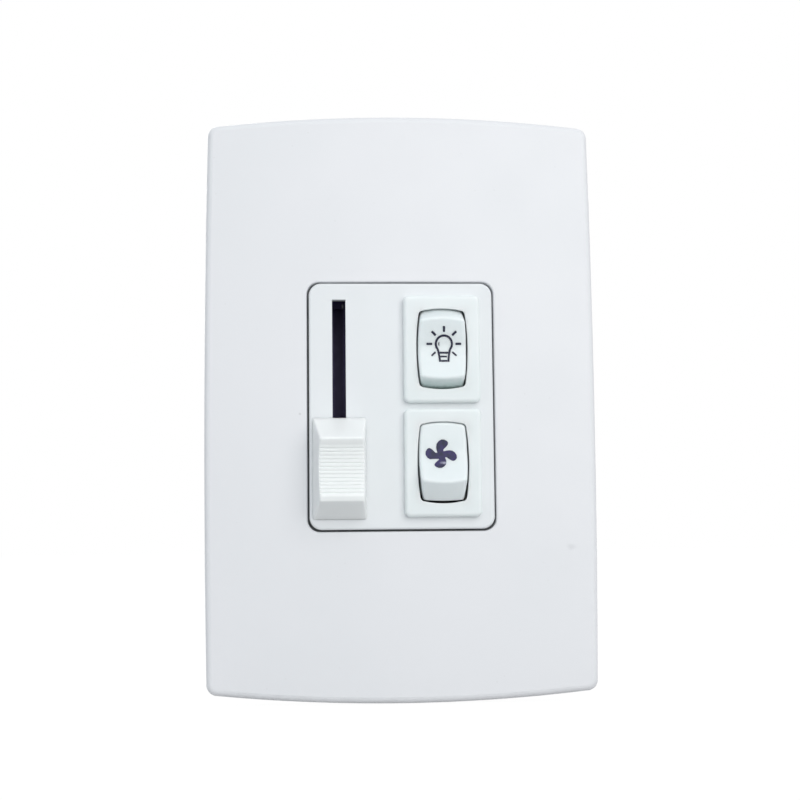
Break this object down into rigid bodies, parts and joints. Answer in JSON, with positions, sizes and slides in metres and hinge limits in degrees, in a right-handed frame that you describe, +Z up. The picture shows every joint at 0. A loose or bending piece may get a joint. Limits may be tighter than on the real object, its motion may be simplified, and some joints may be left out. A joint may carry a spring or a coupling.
{
  "type": "fan speed control switch",
  "caption": "Wall-mounted fan and light controller: bowed white cover plate with a slide speed control in a slot and rocker switches in raised bezels on a central module.",
  "frame": {"origin": "centre of the cover plate on the wall plane, midway between the box screws", "axes": "+X to the right seen from the room, +Y into the wall, +Z up"},
  "size_m": [0.08, 0.041, 0.12],
  "materials": {
    "plate_plastic": "satin white moulding",
    "panel_plastic": "satin white moulding",
    "bezel_plastic": "satin white moulding",
    "rocker_plastic": "gloss white moulding",
    "knob_plastic": "satin white moulding",
    "frame_plastic": "matt light grey moulding",
    "housing_plastic": "matt off-white moulding",
    "steel": "zinc-plated",
    "board_laminate": "brown paper laminate",
    "black_sheet": "black oxide",
    "track_board": "carbon track on laminate",
    "lever_nylon": "black nylon",
    "copper": "spring copper",
    "contact_brass": "bare brass",
    "spring_steel": "bright wire",
    "phenolic": "black thermoset",
    "block_plastic": "grey moulding",
    "heat_sink_alloy": "plain extrusion",
    "epoxy_black": "moulded epoxy",
    "film_case": "amber case",
    "timing_case": "red case",
    "ferrite": "sintered ferrite",
    "resistor_body": "beige lacquer",
    "diode_body": "blue glass-like case"
  },
  "bodies": {
    "base": {"wall_plate": "plate_plastic", "support_frame": "frame_plastic", "module_face": "panel_plastic", "rear_housing": "housing_plastic", "housing_screws": "steel", "circuit_board": "board_laminate", "slide_case": "black_sheet", "slide_track": "track_board", "light_switch_case": "bezel_plastic", "fan_switch_case": "bezel_plastic", "light_switch_base": "phenolic", "fan_switch_base": "phenolic", "light_terminals": "contact_brass", "fan_terminals": "contact_brass", "terminal_block": "block_plastic", "terminal_screws": "steel", "heat_sink": "heat_sink_alloy", "triac": "epoxy_black", "triac_bolt_screw": "steel", "film_capacitor": "film_case", "timing_capacitor": "timing_case", "choke_core": "ferrite", "choke_winding": "copper", "resistors": "resistor_body", "trigger_diode": "diode_body"},
    "speed_slider": {"slide_knob": "knob_plastic", "slide_lever": "lever_nylon", "slide_wiper": "copper"},
    "light_rocker": {"light_rocker": "rocker_plastic", "light_plunger": "contact_brass", "light_spring": "spring_steel"},
    "fan_rocker": {"fan_rocker": "rocker_plastic", "fan_plunger": "contact_brass", "fan_spring": "spring_steel"},
    "light_contact": {"light_contact_blade": "copper"},
    "fan_contact": {"fan_contact_blade": "copper"}
  },
  "joints": [
    {"name": "speed_slide", "type": "slide", "parent": "base", "child": "speed_slider", "axis": [0, 0, 1], "range_m": [0, 0.0265]},
    {"name": "light_rock", "type": "hinge", "parent": "base", "child": "light_rocker", "pos_m": [0.00825, -0.0035, 0.0111], "axis": [1, 0, 0], "range_deg": [-14, 14]},
    {"name": "fan_rock", "type": "hinge", "parent": "base", "child": "fan_rocker", "pos_m": [0.00825, -0.0035, -0.01195], "axis": [1, 0, 0], "range_deg": [0, 28]},
    {"name": "light_seesaw", "type": "hinge", "parent": "base", "child": "light_contact", "pos_m": [0.00825, 0.004, 0.0111], "axis": [1, 0, 0], "range_deg": [-8, 8]},
    {"name": "fan_seesaw", "type": "hinge", "parent": "base", "child": "fan_contact", "pos_m": [0.00825, 0.004, -0.01195], "axis": [1, 0, 0], "range_deg": [-16, 0]}
  ],
  "couplings": [
    {"joint": "light_seesaw", "follows": "light_rock", "ratio": -0.57143},
    {"joint": "fan_seesaw", "follows": "fan_rock", "ratio": -0.57143}
  ]
}
